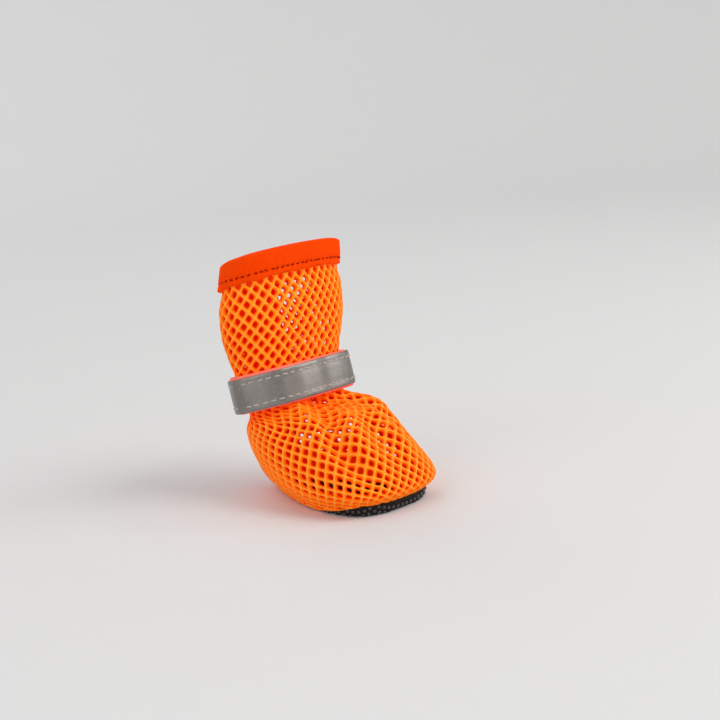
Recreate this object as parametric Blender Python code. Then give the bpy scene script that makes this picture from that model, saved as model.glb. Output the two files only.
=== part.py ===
"""A dog boot: a soft mesh sock on a thin fabric sole, closed round the ankle by a reflective strap.

Metres, +Z up. The toe points along -Y, the sole stands on z = 0 and the boot is its own mirror in X.
It fits a left or a right paw.
"""

import bmesh
import bpy
import numpy as np

# Driving sizes of the form
SOLE_LENGTH = 0.0552  # the lengths below are shares of this; the seam's outline is 0.96 of it
SOLE_WIDTH = 0.0380  # the widths below are shares of this; the seam's outline is 0.9 of it
BOOT_HEIGHT = 0.0732  # top of the collar tape above the floor, at the middle of the shaft
SIDE_RISE = 0.0016  # height of the seam between sole and mesh, at the sides and the heel
TOE_RISE = 0.0035  # the same at the toe, where the sole curls up

# Sizes of the materials
MESH_WALL = 0.0010
SOLE_WALL = 0.0012
TAPE_THICKNESS = 0.0006
STRAP_THICKNESS = 0.0011
REFLECTIVE_THICKNESS = 0.0004
GAP = 0.0003  # left between two pieces that touch

# Sizes of the tapes and of the strap
COLLAR_TAPE_WIDTH = 0.0083  # what shows outside of the folded tape
BACK_TAPE_WIDTH = 0.0088
SEAM_TAPE_ON_MESH = 0.0060  # height of its upper edge over the seam
SEAM_TAPE_ON_SOLE = 0.0034
STRAP_WIDTH = 0.0112
REFLECTIVE_WIDTH = 0.0100
STRAP_TILT = 0.245  # rise of the strap toward the toe, per unit of length
STRAP_END = 0.0029  # how far a folded end stands out from the mesh
STRAP_EASE = 0.0019  # room that the strap leaves in front of the mesh
STRAP_BOW = 4.0  # power of the strap's lens shape
SOLE_CURL = 0.0012  # how far the sole's flat bottom stays inside its rim at the toe
SOLE_EDGE = 0.0008  # the same at the sides and the heel
SOLE_INSET = 0.0003  # how far the rim's outside stays inside the seam's outline

# Where along SOLE_LENGTH, from the origin toward the toe, the sole begins to curl and is fully up
CURL_START = 0.10
CURL_END = 0.47
CURL_REACH = 0.16  # share of the height over which the mesh follows the curl

# Sections from the seam up to the collar.
# height is a share of the height from the seam to the mesh's top edge, front, back and widest
# are shares of SOLE_LENGTH from the origin toward the toe, half is a share of SOLE_WIDTH.
# The powers are those of the superellipse in front of the widest place and behind it,
# and tilt is the section's rise toward the toe per unit of length.
SECTION_COLUMNS = ("height", "front", "back", "widest", "half", "front_power", "back_power", "tilt")
SECTIONS = np.array((
    (0.000, 0.492, -0.468, 0.188, 0.450, 2.83, 1.45, 0.00),
    (0.075, 0.544, -0.506, 0.117, 0.554, 2.78, 1.58, 0.00),
    (0.172, 0.459, -0.532, 0.010, 0.568, 2.30, 1.76, 0.03),
    (0.262, 0.313, -0.535, -0.100, 0.536, 2.12, 1.92, 0.12),
    (0.315, 0.205, -0.512, -0.190, 0.509, 2.10, 1.95, 0.19),
    (0.370, -0.087, -0.436, -0.300, 0.437, 2.00, 2.00, 0.245),
    (0.520, -0.117, -0.479, -0.332, 0.507, 2.23, 2.03, 0.245),
    (0.684, -0.103, -0.518, -0.337, 0.592, 2.19, 2.03, 0.26),
    (0.842, -0.118, -0.530, -0.322, 0.589, 2.11, 2.08, 0.30),
    (1.000, -0.153, -0.508, -0.280, 0.538, 2.00, 2.00, 0.335),
))
WAIST = 0.445  # height share of the strap's middle, halfway between the two rows of the waist

# Soft folds of the mesh.
# around is the place round the section, 0 at the back seam and 0.5 at the middle of the front,
# drift moves it per unit of the height share, centre and reach are height shares,
# width is a share of the way round and depth a share of SOLE_WIDTH, with hollows negative.
FOLD_COLUMNS = ("around", "drift", "centre", "reach", "width", "depth")
FOLDS = np.array((
    (0.500, 0.00, 0.325, 0.130, 0.028, -0.060),
    (0.445, 0.10, 0.240, 0.100, 0.030, 0.018),
    (0.555, -0.10, 0.240, 0.100, 0.030, 0.018),
))

# Rows and columns of the meshes
AROUND = 56
UPPER_ROWS = 25
BACK_TAPE_ROWS = 20
STRAP_COLUMNS = 24


def column(table, names, name):
    return table[..., names.index(name)]


def mesh_top():
    """Height of the mesh's top edge, which the collar tape covers."""
    return BOOT_HEIGHT - TAPE_THICKNESS - GAP


def height_at(share):
    """Height above the floor of a height share, where the sole doesn't curl."""
    return SIDE_RISE + share * (mesh_top() - SIDE_RISE)


def curl_at(forward):
    """How much higher than at the sides the seam lies, this far toward the toe."""
    part = np.clip((forward / SOLE_LENGTH - CURL_START) / (CURL_END - CURL_START), 0, 1)
    return (TOE_RISE - SIDE_RISE) * part**2 * (3 - 2 * part)


def sections_at(levels):
    """Rows of SECTIONS at any levels from 0 at the seam to 1 at the top edge, through a smooth curve."""
    last = len(SECTIONS) - 1
    place = np.clip(np.asarray(levels, float), 0, 1) * last
    start = np.minimum(place.astype(int), last - 1)
    part = (place - start)[..., None]
    ends = np.vstack((2 * SECTIONS[0] - SECTIONS[1], SECTIONS, 2 * SECTIONS[-1] - SECTIONS[-2]))
    before, here, after, beyond = (ends[start + step] for step in range(4))
    return 0.5 * (
        2 * here
        + (after - before) * part
        + (2 * before - 5 * here + 4 * after - beyond) * part**2
        + (3 * here - before - 3 * after + beyond) * part**3
    )


def half_section(row, samples=120):
    """Points (x, forward) of half a section, from the back to the front, and their share of its length."""
    front, back, widest = (column(row, SECTION_COLUMNS, name) * SOLE_LENGTH for name in ("front", "back", "widest"))
    half = column(row, SECTION_COLUMNS, "half") * SOLE_WIDTH
    front_power = column(row, SECTION_COLUMNS, "front_power")
    back_power = column(row, SECTION_COLUMNS, "back_power")
    turn = np.linspace(0, np.pi / 2, samples)
    x = np.concatenate((half * np.sin(turn) ** (2 / back_power), half * np.cos(turn[1:]) ** (2 / front_power)))
    forward = np.concatenate((
        widest - (widest - back) * np.cos(turn) ** (2 / back_power),
        widest + (front - widest) * np.sin(turn[1:]) ** (2 / front_power),
    ))
    length = np.concatenate(((0,), np.cumsum(np.hypot(np.diff(x), np.diff(forward)))))
    return x, forward, length / length[-1]


def form(levels, around):
    """The mesh's outer form without folds, as a grid of points: a row per level, a column per place round."""
    grid = []
    side = np.mod(around, 1.0)
    share = 2 * np.minimum(side, 1 - side)
    sign = np.where(side <= 0.5, 1.0, -1.0)
    for row in sections_at(levels):
        x, forward, length = half_section(row)
        reach = np.interp(share, length, forward)
        height = column(row, SECTION_COLUMNS, "height")
        rise = column(row, SECTION_COLUMNS, "tilt") * (reach - column(row, SECTION_COLUMNS, "widest") * SOLE_LENGTH)
        rise = rise + curl_at(reach) * np.clip(1 - height / CURL_REACH, 0, 1) ** 3
        grid.append(np.stack((sign * np.interp(share, length, x), -reach, height_at(height) + rise), axis=-1))
    return np.array(grid)


def unit(vectors):
    return vectors / np.linalg.norm(vectors, axis=-1, keepdims=True)


def directions(levels, around):
    """Unit vectors out of the form and up along it, on the same grid as form()."""
    step = 0.004
    along = form(levels, around + step) - form(levels, around - step)
    up = form(np.minimum(levels + step, 1), around) - form(np.maximum(levels - step, 0), around)
    return unit(np.cross(up, along)), unit(up)


def fold_depth(levels, around):
    """How far the folds move the mesh out of its form, on the same grid as form()."""
    height = column(sections_at(levels), SECTION_COLUMNS, "height")[:, None]
    depth = np.zeros((len(levels), len(around)))
    for row in FOLDS:
        place, drift, centre, reach, width, size = row
        across = (np.mod(around, 1.0)[None, :] - place - drift * (centre - height)) / width
        depth += size * SOLE_WIDTH * np.exp(-(across**2) - ((height - centre) / reach) ** 2)
    return depth


def on_mesh(levels, around, offset):
    """Points that far outside the mesh's outer face, folds included. A negative offset lies inside."""
    levels = np.atleast_1d(levels)
    out, _ = directions(levels, around)
    return form(levels, around) + out * (fold_depth(levels, around) + offset)[..., None]


def level_of(height):
    """The level whose section has this height at the middle of the boot."""
    levels = np.linspace(0, 1, 400)
    return float(np.interp(height, height_at(column(sections_at(levels), SECTION_COLUMNS, "height")), levels))


def seam_outline(inset, height):
    """The seam's outline moved in by a distance, as a ring of points at the given heights."""
    ring = form(np.zeros(1), ring_places())[0]
    along = np.roll(ring, -1, axis=0) - np.roll(ring, 1, axis=0)
    inward = unit(np.stack((along[:, 1], -along[:, 0], np.zeros(AROUND)), axis=-1))
    moved = ring + inward * np.reshape(inset, (-1, 1))
    moved[:, 2] = height
    return moved


def ring_places():
    return np.arange(AROUND) / AROUND


def add_object(name, mesh, colour, roughness):
    """Puts a mesh in the scene with a material of its own."""
    item = bpy.data.objects.new(name, mesh)
    bpy.context.collection.objects.link(item)
    material = bpy.data.materials.new(name + "_material")
    material.use_nodes = True
    shader = material.node_tree.nodes["Principled BSDF"]
    shader.inputs["Base Color"].default_value = (*colour, 1)
    shader.inputs["Roughness"].default_value = roughness
    mesh.materials.append(material)
    mesh.shade_smooth()
    mesh.set_sharp_from_angle(angle=np.radians(50))
    return item


def build_mesh(name, fill):
    """A mesh whose faces fill() makes in a bmesh, turned to face outward."""
    work = bmesh.new()
    fill(work)
    bmesh.ops.recalc_face_normals(work, faces=work.faces[:])
    mesh = bpy.data.meshes.new(name)
    work.to_mesh(mesh)
    work.free()
    return mesh


def sweep(name, rings, closed_around=True, caps=False):
    """A solid from rings of points, each joined to the next and the last to the first.

    rings is a grid with one row per place along the profile and one column per place round the boot.
    With caps, the first and the last ring are filled instead of joined.
    """
    rings = np.asarray(rings)

    def fill(work):
        points = [[work.verts.new(point) for point in ring] for ring in rings]
        rows = len(points)
        columns = len(points[0])
        for row in range(rows - 1 if caps else rows):
            for place in range(columns if closed_around else columns - 1):
                beside = (place + 1) % columns
                above = (row + 1) % rows
                work.faces.new((points[row][place], points[row][beside], points[above][beside], points[above][place]))
        if caps:
            work.faces.new(points[0])
            work.faces.new(points[-1])
        if not closed_around:
            work.faces.new([ring[0] for ring in points])
            work.faces.new([ring[-1] for ring in points])

    return build_mesh(name, fill)


def add_upper():
    """The mesh sock, open at the collar and underneath."""
    levels = np.linspace(0, 1, UPPER_ROWS)
    outer = on_mesh(levels, ring_places(), 0)
    inner = on_mesh(levels, ring_places(), -MESH_WALL)
    rings = np.concatenate((outer, inner[::-1]))
    return add_object("upper", sweep("upper", rings), (1.0, 0.30, 0.01), 0.7)


def sole_profile(depth):
    """Rings of the sole's tray, this deep inside its outer face, from the flat bottom to the rim.

    The bend is a quarter of an ellipse between the flat bottom and the upright rim.
    It is wide where the sole curls up at the toe, and narrow where the sole lies flat.
    """
    curl = curl_at(-form(np.zeros(1), ring_places())[0][:, 1])
    bend = SOLE_EDGE + (SOLE_CURL - SOLE_EDGE) * curl / (TOE_RISE - SIDE_RISE)
    rim = SIDE_RISE - GAP + curl
    rings = []
    for turn in np.radians((0, 22, 45, 67, 90)):
        inset = SOLE_INSET + depth + bend * (1 - np.sin(turn))
        rings.append(seam_outline(inset, depth + (rim - depth) * (1 - np.cos(turn))))
    return rings


def add_sole():
    """The fabric sole, a shallow tray whose rim meets the mesh's lower edge."""
    outer = sole_profile(0)
    inner = sole_profile(SOLE_WALL)
    return add_object("sole", sweep("sole", outer + inner[::-1], caps=True), (0.012, 0.011, 0.011), 0.6)


def add_seam_binding():
    """Tape inside the boot, over the seam between mesh and sole."""
    top = level_of(SIDE_RISE + SEAM_TAPE_ON_MESH)
    levels = np.array((0, 0.8, 1)) * top
    clear = MESH_WALL + GAP
    floor = SOLE_WALL + GAP
    curl = curl_at(-form(np.zeros(1), ring_places())[0][:, 1])

    def side(depth):
        on_wall = list(on_mesh(levels, ring_places(), -clear - depth))
        half_way = SOLE_INSET + SOLE_WALL + SEAM_TAPE_ON_SOLE * 0.4
        in_bend = seam_outline(half_way + depth, floor + depth + curl * 0.35 + (MESH_WALL + GAP) * 0.6)
        on_floor = seam_outline(half_way + SEAM_TAPE_ON_SOLE * 0.6 + SOLE_WALL * curl / TOE_RISE, floor + depth)
        return [on_floor, in_bend] + on_wall

    rings = side(0) + side(TAPE_THICKNESS)[::-1]
    return add_object("seam_binding", sweep("seam_binding", rings), (0.9, 0.05, 0.01), 0.8)


def add_collar_binding():
    """Ribbed tape folded over the mesh's top edge, the same width outside and inside."""
    places = ring_places()
    low = level_of(BOOT_HEIGHT - COLLAR_TAPE_WIDTH)
    outside = GAP + TAPE_THICKNESS
    inside = -MESH_WALL - GAP - TAPE_THICKNESS
    _, up = directions(np.ones(1), places)
    chamfer = TAPE_THICKNESS * 0.7

    def low_ring(offset):
        return on_mesh(low, places, offset)[0]

    def top_ring(offset, raised):
        return on_mesh(1.0, places, offset)[0] + up[0] * raised

    rings = (
        low_ring(outside),
        top_ring(outside, GAP),
        top_ring(outside - chamfer, GAP + TAPE_THICKNESS),
        top_ring(inside + chamfer, GAP + TAPE_THICKNESS),
        top_ring(inside, GAP),
        low_ring(inside),
        low_ring(inside + TAPE_THICKNESS),
        top_ring(inside + TAPE_THICKNESS, GAP),
        top_ring(outside - TAPE_THICKNESS, GAP),
        low_ring(outside - TAPE_THICKNESS),
    )
    return add_object("collar_binding", sweep("collar_binding", rings), (0.9, 0.07, 0.01), 0.75)


def section_length(level):
    points = form(np.array((level,)), ring_places())[0]
    return np.linalg.norm(np.roll(points, -1, axis=0) - points, axis=1).sum()


def add_back_binding(name, side):
    """One of the two tapes on the back seam. side is 1 toward +X and -1 toward -X."""
    low = level_of(SIDE_RISE + TAPE_THICKNESS)
    high = level_of(BOOT_HEIGHT - COLLAR_TAPE_WIDTH) - GAP / BOOT_HEIGHT * 2
    levels = np.linspace(low, high, BACK_TAPE_ROWS)
    outer = []
    inner = []
    for level in levels:
        length = section_length(level)
        edges = np.array((GAP / 2, BACK_TAPE_WIDTH * 0.5, BACK_TAPE_WIDTH)) / length
        outer.append(on_mesh(level, side * edges, GAP + TAPE_THICKNESS)[0])
        inner.append(on_mesh(level, side * edges, GAP)[0])
    rings = np.concatenate((outer, inner[::-1]))
    return add_object(name, sweep(name, rings, closed_around=False), (0.9, 0.06, 0.01), 0.75)


def strap_frame():
    """Level of the strap, its middle between front and back, half its length and half its depth inside."""
    row = sections_at(level_of(height_at(WAIST)))
    front = column(row, SECTION_COLUMNS, "front") * SOLE_LENGTH
    back = column(row, SECTION_COLUMNS, "back") * SOLE_LENGTH
    half = column(row, SECTION_COLUMNS, "half") * SOLE_WIDTH + STRAP_END
    back_room = TAPE_THICKNESS + 2 * GAP + STRAP_EASE * 0.6
    middle = (front + STRAP_EASE + back - back_room) / 2
    depth = (front + STRAP_EASE - back + back_room) / 2
    return middle, half, depth


def strap_band(offset, width):
    """Lower and upper ring of a band that lies this far outside the strap's inner face.

    Seen from above, the band is a lens: two bowed faces that meet in a fold at each side.
    """
    middle, half, depth = strap_frame()
    share = np.sin(np.linspace(-np.pi / 2, np.pi / 2, STRAP_COLUMNS))
    bow = GAP / 2 + offset + depth * (1 - np.abs(share) ** STRAP_BOW)
    x = share * (half + 0.8 * offset)
    x = np.concatenate((x, x[::-1]))
    forward = np.concatenate((bow, -bow[::-1]))
    base = np.stack((x, -(middle + forward), height_at(WAIST) + STRAP_TILT * forward), axis=-1)
    axis = unit(np.array((0, STRAP_TILT, 1)))
    return [base - axis * width / 2, base + axis * width / 2]


def add_band(name, offset, thickness, width, colour, roughness):
    inner = strap_band(offset, width)
    outer = strap_band(offset + thickness, width)
    return add_object(name, sweep(name, outer + inner[::-1]), colour, roughness)


def main():
    for item in list(bpy.data.objects):
        bpy.data.objects.remove(item, do_unlink=True)
    add_upper()
    add_sole()
    add_seam_binding()
    add_collar_binding()
    add_back_binding("back_binding_left", -1)
    add_back_binding("back_binding_right", 1)
    add_band("strap", 0, STRAP_THICKNESS, STRAP_WIDTH, (1.0, 0.16, 0.08), 0.7)
    tape_offset = STRAP_THICKNESS + GAP
    add_band("reflective_tape", tape_offset, REFLECTIVE_THICKNESS, REFLECTIVE_WIDTH, (0.17, 0.165, 0.155), 0.35)


main()
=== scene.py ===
import math

import bmesh
import bpy
import numpy as np
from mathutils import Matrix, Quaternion, Vector


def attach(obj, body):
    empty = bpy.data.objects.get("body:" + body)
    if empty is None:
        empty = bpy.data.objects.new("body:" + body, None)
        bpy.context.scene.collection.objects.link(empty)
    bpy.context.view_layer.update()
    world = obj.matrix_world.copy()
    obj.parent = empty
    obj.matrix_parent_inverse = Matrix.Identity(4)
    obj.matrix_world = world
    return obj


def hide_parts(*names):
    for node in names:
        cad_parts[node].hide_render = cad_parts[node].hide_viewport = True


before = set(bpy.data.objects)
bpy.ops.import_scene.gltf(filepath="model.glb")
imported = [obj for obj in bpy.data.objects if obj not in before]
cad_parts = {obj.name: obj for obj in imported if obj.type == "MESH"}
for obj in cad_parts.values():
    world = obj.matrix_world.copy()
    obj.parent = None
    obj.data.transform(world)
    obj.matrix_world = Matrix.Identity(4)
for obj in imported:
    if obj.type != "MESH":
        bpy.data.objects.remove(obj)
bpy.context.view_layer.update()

print("frame loaded:", ", ".join(sorted(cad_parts)))

# The boot's own sizes, in metres. The toe points along -Y and the sole stands on z = 0.
boot = {
    "soleLength": 0.0552,
    "soleWidth": 0.0380,
    "height": 0.0732,  # top of the collar tape
    "sideRise": 0.0016,  # seam over the floor, at the sides and the heel
    "toeRise": 0.0035,  # the same at the toe
    "wall": 0.0010,
    "tape": 0.0006,
    "gap": 0.0003,
    "curlStart": 0.10,
    "curlEnd": 0.47,
    "curlReach": 0.16,
    "waist": 0.445,  # height share of the strap's middle
}
meshTop = boot["height"] - boot["tape"] - boot["gap"]

# Sections of the mesh from the seam to the collar: height share, then front, back and widest place
# as shares of the sole's length, half width as a share of its width, the two powers and the tilt.
sections = np.array((
    (0.000, 0.492, -0.468, 0.188, 0.450, 2.83, 1.45, 0.00),
    (0.075, 0.544, -0.506, 0.117, 0.554, 2.78, 1.58, 0.00),
    (0.172, 0.459, -0.532, 0.010, 0.568, 2.30, 1.76, 0.03),
    (0.262, 0.313, -0.535, -0.100, 0.536, 2.12, 1.92, 0.12),
    (0.315, 0.205, -0.512, -0.190, 0.509, 2.10, 1.95, 0.19),
    (0.370, -0.087, -0.436, -0.300, 0.437, 2.00, 2.00, 0.245),
    (0.520, -0.117, -0.479, -0.332, 0.507, 2.23, 2.03, 0.245),
    (0.684, -0.103, -0.518, -0.337, 0.592, 2.19, 2.03, 0.26),
    (0.842, -0.118, -0.530, -0.322, 0.589, 2.11, 2.08, 0.30),
    (1.000, -0.153, -0.508, -0.280, 0.538, 2.00, 2.00, 0.335),
))

# Creases, listed one by one: place round the boot (0 back seam, 0.5 front), its drift up the boot,
# centre and reach up the boot, width round it and depth as a share of the sole's width.
creases = np.array((
    (0.500, 0.00, 0.325, 0.130, 0.028, -0.060),  # trough down the instep
    (0.445, 0.10, 0.240, 0.100, 0.030, 0.018),
    (0.555, -0.10, 0.240, 0.100, 0.030, 0.018),
    (0.468, 0.30, 0.330, 0.060, 0.010, -0.023),  # gathers under the strap
    (0.538, -0.35, 0.340, 0.055, 0.010, -0.021),
    (0.420, 0.25, 0.335, 0.050, 0.011, -0.019),
    (0.590, -0.25, 0.335, 0.050, 0.012, -0.018),
    (0.360, 0.10, 0.335, 0.045, 0.013, -0.014),
    (0.650, -0.10, 0.335, 0.045, 0.013, -0.015),
    (0.560, 0.10, 0.610, 0.080, 0.018, -0.010),  # soft pulls above the strap
    (0.450, -0.10, 0.600, 0.090, 0.020, -0.012),
    (0.385, 0.15, 0.640, 0.110, 0.022, 0.010),
    (0.300, 0.05, 0.600, 0.100, 0.025, -0.012),
    (0.700, -0.05, 0.590, 0.100, 0.025, -0.010),
))

# Longer folds as lines over the skin: points (place round, height share), width and depth in metres
foldLines = (
    (((0.505, 0.385), (0.555, 0.348), (0.592, 0.300), (0.602, 0.240), (0.592, 0.175), (0.562, 0.118)),
     0.0025, 0.0027),
    (((0.492, 0.380), (0.445, 0.335), (0.415, 0.270), (0.408, 0.205)), 0.0028, 0.0018),
    (((0.700, 0.370), (0.706, 0.310), (0.690, 0.255)), 0.0026, 0.0007),
    (((0.290, 0.365), (0.285, 0.300), (0.300, 0.250)), 0.0028, 0.0008),
)
foldMetric = (0.135, 0.0713)  # metres per unit of place and of height share
# Soft banks beside a fold: height as a share of its depth, place and width as shares of its width
foldBank = {"height": 0.45, "place": 2.1, "width": 1.2}
foldFade = {"start": 0.14, "power": 0.6}  # how a fold sets in near the strap and goes at the far end

# The collar grips the top of the mesh: height share and how far the skin moves out
grip = ((0.0, 0.0), (0.77, 0.0), (0.82, 0.0001), (0.872, -0.00045), (0.89, -0.00042), (0.95, 0.0002),
        (1.0, 0.0007))

# Rows from the seam to the top edge, columns round the boot, and about how high a row is
skinGrid = {"rows": 420, "columns": 960, "rowHeight": 0.00018}
# Below the seam the net rolls under the boot: how far in and how far down each row lies.
hemRoll = ((0.0016, 0.00118), (0.0010, 0.00112), (0.0005, 0.00095), (0.0002, 0.00070), (0.00004, 0.00035))
hemLift = 0.75  # share of the way down that goes where the toe curls up


def unit(vectors):
    return vectors / np.maximum(np.linalg.norm(vectors, axis=-1, keepdims=True), 1e-12)


def pathLengths(points):
    # Length from the first point to each point of a path
    steps = np.linalg.norm(np.diff(points, axis=0), axis=-1)
    return np.concatenate(((0,), np.cumsum(steps)))


def curlAt(forward):
    span = boot["curlEnd"] - boot["curlStart"]
    part = np.clip((forward / boot["soleLength"] - boot["curlStart"]) / span, 0, 1)
    return (boot["toeRise"] - boot["sideRise"]) * part**2 * (3 - 2 * part)


def heightAt(share):
    return boot["sideRise"] + share * (meshTop - boot["sideRise"])


def sectionsAt(levels):
    last = len(sections) - 1
    place = np.clip(np.asarray(levels, float), 0, 1) * last
    start = np.minimum(place.astype(int), last - 1)
    part = (place - start)[..., None]
    ends = np.vstack((2 * sections[0] - sections[1], sections, 2 * sections[-1] - sections[-2]))
    before, here, after, beyond = (ends[start + step] for step in range(4))
    return 0.5 * (2 * here + (after - before) * part + (2 * before - 5 * here + 4 * after - beyond) * part**2
                  + (3 * here - before - 3 * after + beyond) * part**3)


def ringAt(row, around, samples=160):
    height, front, back, widest, half, frontPower, backPower, tilt = row
    front, back, widest = (value * boot["soleLength"] for value in (front, back, widest))
    half = half * boot["soleWidth"]
    turn = np.linspace(0, np.pi / 2, samples)
    x = np.concatenate((half * np.sin(turn) ** (2 / backPower), half * np.cos(turn[1:]) ** (2 / frontPower)))
    forward = np.concatenate((widest - (widest - back) * np.cos(turn) ** (2 / backPower),
                              widest + (front - widest) * np.sin(turn[1:]) ** (2 / frontPower)))
    length = np.concatenate(((0,), np.cumsum(np.hypot(np.diff(x), np.diff(forward)))))
    length /= length[-1]
    side = np.mod(around, 1.0)
    share = 2 * np.minimum(side, 1 - side)
    sign = np.where(side <= 0.5, 1.0, -1.0)
    reach = np.interp(share, length, forward)
    rise = tilt * (reach - widest) + curlAt(reach) * np.clip(1 - height / boot["curlReach"], 0, 1) ** 3
    return np.stack((sign * np.interp(share, length, x), -reach, heightAt(height) + rise), axis=-1)


def outward(points):
    along = np.roll(points, -1, axis=1) - np.roll(points, 1, axis=1)
    return unit(np.cross(np.gradient(points, axis=0), along))


def creaseDepth(heights, around):
    depth = np.zeros((len(heights), len(around)))
    for place, drift, centre, reach, width, size in creases:
        across = (around[None, :] - place - drift * (centre - heights[:, None])) / width
        depth += size * boot["soleWidth"] * np.exp(-(across**2) - ((heights[:, None] - centre) / reach) ** 2)
    return depth


def foldLineDepth(heights, around):
    spots = np.stack(np.meshgrid(around * foldMetric[0], heights * foldMetric[1]), -1)
    depth = np.zeros(spots.shape[:2])
    for points, width, size in foldLines:
        points = np.array(points) * foldMetric
        nearest = np.full(depth.shape, 1.0)
        share = np.zeros(depth.shape)
        for number, (first, last) in enumerate(zip(points[:-1], points[1:])):
            along = last - first
            part = np.clip(((spots - first) @ along) / (along @ along), 0, 1)
            gap = np.linalg.norm(spots - first - part[..., None] * along, axis=-1)
            share = np.where(gap < nearest, (number + part) / (len(points) - 1), share)
            nearest = np.minimum(nearest, gap)
        share = np.clip(share * (1 - foldFade["start"]) + foldFade["start"], 0, 1)
        fade = np.sin(np.pi * share) ** foldFade["power"]
        away = (nearest - foldBank["place"] * width) / (foldBank["width"] * width)
        bank = foldBank["height"] * np.exp(-(away**2))
        depth += size * fade * (bank - np.exp(-((nearest / width) ** 2)))
    return depth


# The skin is the mesh's outer face as a fine grid, from the hem under the boot up to the top edge.
levels = np.linspace(0, 1, skinGrid["rows"])
places = np.arange(skinGrid["columns"]) / skinGrid["columns"]
levelRows = sectionsAt(levels)
upperRings = np.array([ringAt(row, places) for row in levelRows])
seamRing = upperRings[0]
seamAlong = np.roll(seamRing, -1, axis=0) - np.roll(seamRing, 1, axis=0)
seamInward = unit(np.stack((seamAlong[:, 1], -seamAlong[:, 0], np.zeros(len(places))), axis=-1))
curlShare = curlAt(-seamRing[:, 1]) / (boot["toeRise"] - boot["sideRise"])
hemRings = []
for inset, drop in hemRoll:
    ring = seamRing + seamInward * inset
    ring[:, 2] -= drop * (1 - hemLift * curlShare**3)
    hemRings.append(ring)
hemCount = len(hemRings)
plainSkin = np.concatenate((hemRings, upperRings))
folds = creaseDepth(levelRows[:, 0], places) + foldLineDepth(levelRows[:, 0], places)
folds += np.interp(levelRows[:, 0], *np.array(grip).T)[:, None]
folds = np.concatenate((np.zeros((hemCount, len(places))), folds))
skin = plainSkin + outward(plainSkin) * folds[..., None]
skinOut = outward(skin)
steps = np.linalg.norm(np.diff(plainSkin, axis=0), axis=-1)
downLength = np.concatenate((np.cumsum(steps[::-1], axis=0)[::-1], np.zeros((1, len(places)))))
ringLength = np.linalg.norm(np.roll(plainSkin, -1, axis=1) - plainSkin, axis=-1).sum(axis=1)
topRow = len(skin) - 1


def sample(field, around, row):
    # The field's value at any place round the boot and any row, mixed from the four nearest
    column = np.mod(around, 1.0) * skinGrid["columns"]
    left = np.floor(column).astype(int)
    low = np.clip(np.floor(row).astype(int), 0, topRow - 1)
    across, up = column - left, np.clip(row, 0, topRow) - low
    if field.ndim > 2:
        across, up = across[..., None], up[..., None]
    left = np.mod(left, skinGrid["columns"])
    right = np.mod(left + 1, skinGrid["columns"])
    lower = field[low, left] * (1 - across) + field[low, right] * across
    upper = field[low + 1, left] * (1 - across) + field[low + 1, right] * across
    return lower * (1 - up) + upper * up


def rowOf(height):
    # The skin's row at a height over the floor, at the middle of the boot
    return hemCount + float(np.interp(height, heightAt(levelRows[:, 0]), np.arange(len(levels))))


def onSkin(around, row, offset):
    normal = unit(sample(skinOut, around, row))
    return sample(skin, around, row) + normal * np.asarray(offset)[..., None]


def newPiece(name, points, faces, uvs, material, replaces=None, weld=0.0):
    # A mesh object from points, four-cornered faces and one UV a corner, riding on the boot
    points = np.asarray(points, float).reshape(-1, 3)
    faces = np.asarray(faces, int).reshape(-1, 4)
    first, second, third, fourth = (points[faces[:, corner]] for corner in range(4))
    volume = (first * (np.cross(second, third) + np.cross(third, fourth))).sum()
    if volume < 0:
        faces = faces[:, ::-1]
        uvs = None if uvs is None else np.asarray(uvs).reshape(-1, 4, 2)[:, ::-1]
    mesh = bpy.data.meshes.new(name)
    mesh.vertices.add(len(points))
    mesh.vertices.foreach_set("co", points.ravel())
    mesh.loops.add(faces.size)
    mesh.loops.foreach_set("vertex_index", faces.ravel())
    mesh.polygons.add(len(faces))
    mesh.polygons.foreach_set("loop_start", np.arange(len(faces)) * 4)
    if uvs is not None:
        layer = mesh.uv_layers.new(name="cloth")
        layer.data.foreach_set("uv", np.asarray(uvs, float).ravel())
    mesh.update(calc_edges=True)
    mesh.validate()
    if weld:
        work = bmesh.new()
        work.from_mesh(mesh)
        bmesh.ops.remove_doubles(work, verts=work.verts[:], dist=weld)
        bmesh.ops.dissolve_degenerate(work, edges=work.edges[:], dist=weld)
        work.to_mesh(mesh)
        work.free()
    mesh.shade_smooth()
    mesh.materials.append(material)
    piece = bpy.data.objects.new(name, mesh)
    bpy.context.scene.collection.objects.link(piece)
    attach(piece, "root")
    if replaces:
        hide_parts(replaces)
    mesh.calc_loop_triangles()
    print(name, len(mesh.loop_triangles), "triangles")
    return piece


def loopFaces(rows, columns, closedRows, closedColumns):
    # Faces of a grid of points, with its rows, its columns or both joined round
    row = np.arange(rows if closedRows else rows - 1)
    column = np.arange(columns if closedColumns else columns - 1)
    low, left = np.meshgrid(row, column, indexing="ij")
    right = (left + 1) % columns
    first, second = low * columns, (low + 1) % rows * columns
    return np.stack((first + left, first + right, second + right, second + left), -1).reshape(-1, 4)


def loopUvs(alongs, acrosses):
    # UVs for loopFaces, with one more entry than the rows or columns where they join round
    rows = len(acrosses) - 1
    columns = len(alongs) - 1
    low, left = np.meshgrid(np.arange(rows), np.arange(columns), indexing="ij")
    corners = ((low, left), (low, left + 1), (low + 1, left + 1), (low + 1, left))
    uvs = [np.stack((alongs[column], acrosses[row]), -1) for row, column in corners]
    return np.stack(uvs, -2).reshape(-1, 4, 2)


# Shader helpers and the effects that several materials share

def addNode(tree, kind, values=None, links=None, **settings):
    item = tree.nodes.new("ShaderNode" + kind)
    for name, value in settings.items():
        setattr(item, name, value)
    for key, value in (values or {}).items():
        item.inputs[key].default_value = value
    for key, socket in (links or {}).items():
        tree.links.new(socket, item.inputs[key])
    return item


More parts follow.
